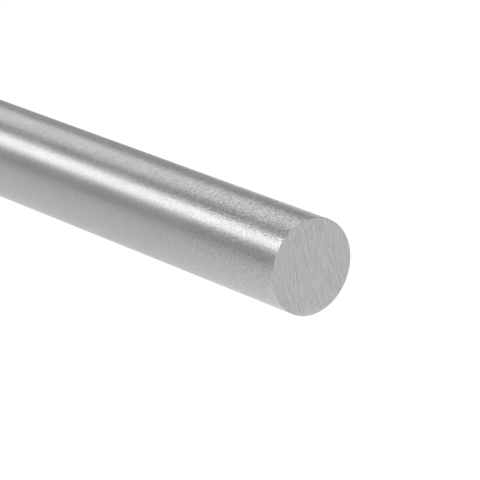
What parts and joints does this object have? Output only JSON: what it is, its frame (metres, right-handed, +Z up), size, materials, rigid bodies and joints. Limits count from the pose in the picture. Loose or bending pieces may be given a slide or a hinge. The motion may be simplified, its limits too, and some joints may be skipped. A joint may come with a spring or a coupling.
{
  "type": "round metal bar",
  "caption": "Solid round steel bar with a fine ground surface and square, deburred ends; raw stock to machine, turn or clamp.",
  "frame": {"origin": "middle of the bar's underside, where its lowest line meets the floor", "axes": "+X along the bar, towards the end that the picture shows; +Y level, away from the picture's side; +Z up"},
  "size_m": [0.3048, 0.0254, 0.0254],
  "materials": {
    "ground_steel": "fine ground barrel, end faces sanded in one direction"
  },
  "bodies": {
    "root": {"round_bar": "ground_steel"}
  },
  "joints": []
}
